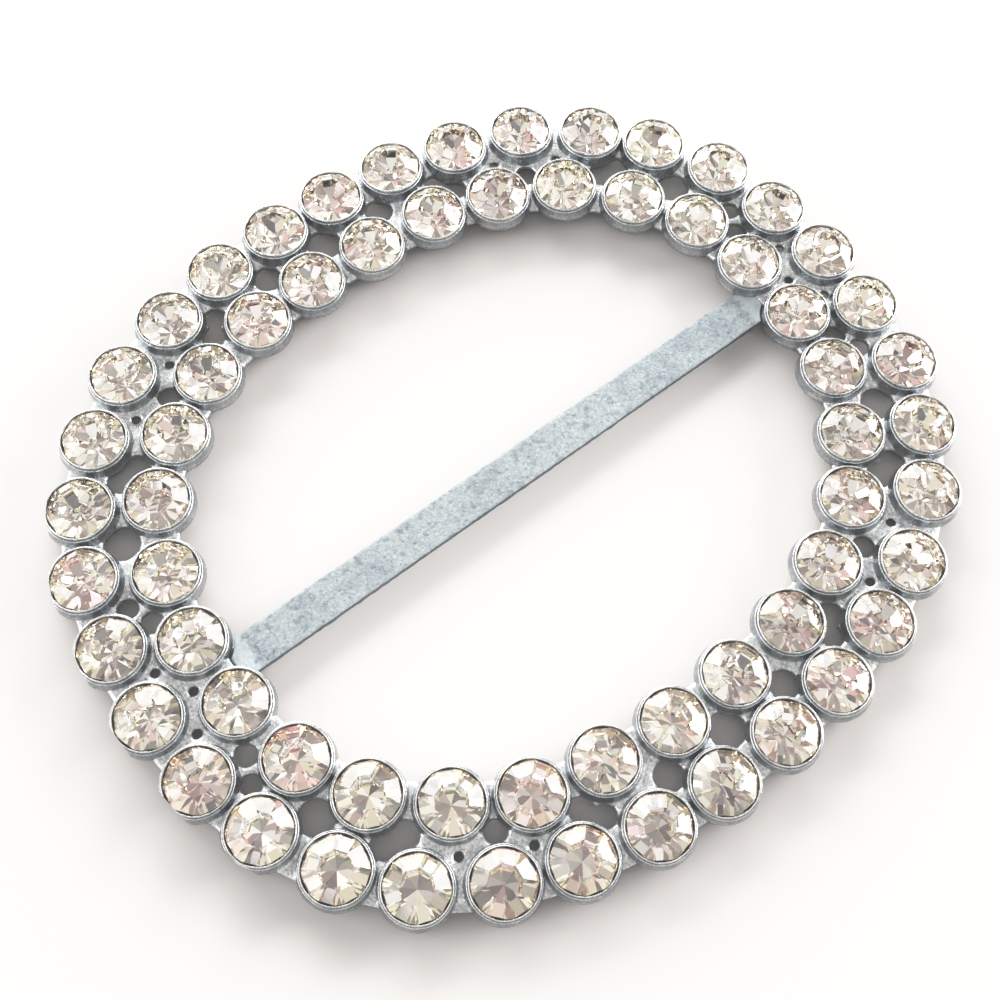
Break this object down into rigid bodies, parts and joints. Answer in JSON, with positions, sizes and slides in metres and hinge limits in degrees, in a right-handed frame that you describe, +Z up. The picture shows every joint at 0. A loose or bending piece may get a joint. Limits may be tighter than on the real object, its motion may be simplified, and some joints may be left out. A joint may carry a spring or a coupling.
{
  "type": "scarf slide",
  "caption": "Oval scarf slide: a cast, pierced ring set with rows of round cut stones in cups, crossed by a flat bar that a scarf is drawn over.",
  "frame": {"origin": "centre of the oval, on the surface that the slide rests on", "axes": "+X along the bar and the ring's long axis, +Y across the bar, +Z up out of the stones' tables"},
  "size_m": [0.0582, 0.051, 0.0026],
  "materials": {
    "cast_frame": "bright grey plating over a slightly rough casting",
    "cross_bar": "matte blue-grey, grainy and speckled",
    "outer_stones": "clear cut glass with a foiled back",
    "inner_stones": "clear cut glass with a foiled back"
  },
  "bodies": {
    "root": {"frame": "cast_frame", "cross_bar": "cross_bar", "outer_stones": "outer_stones", "inner_stones": "inner_stones"}
  },
  "joints": []
}
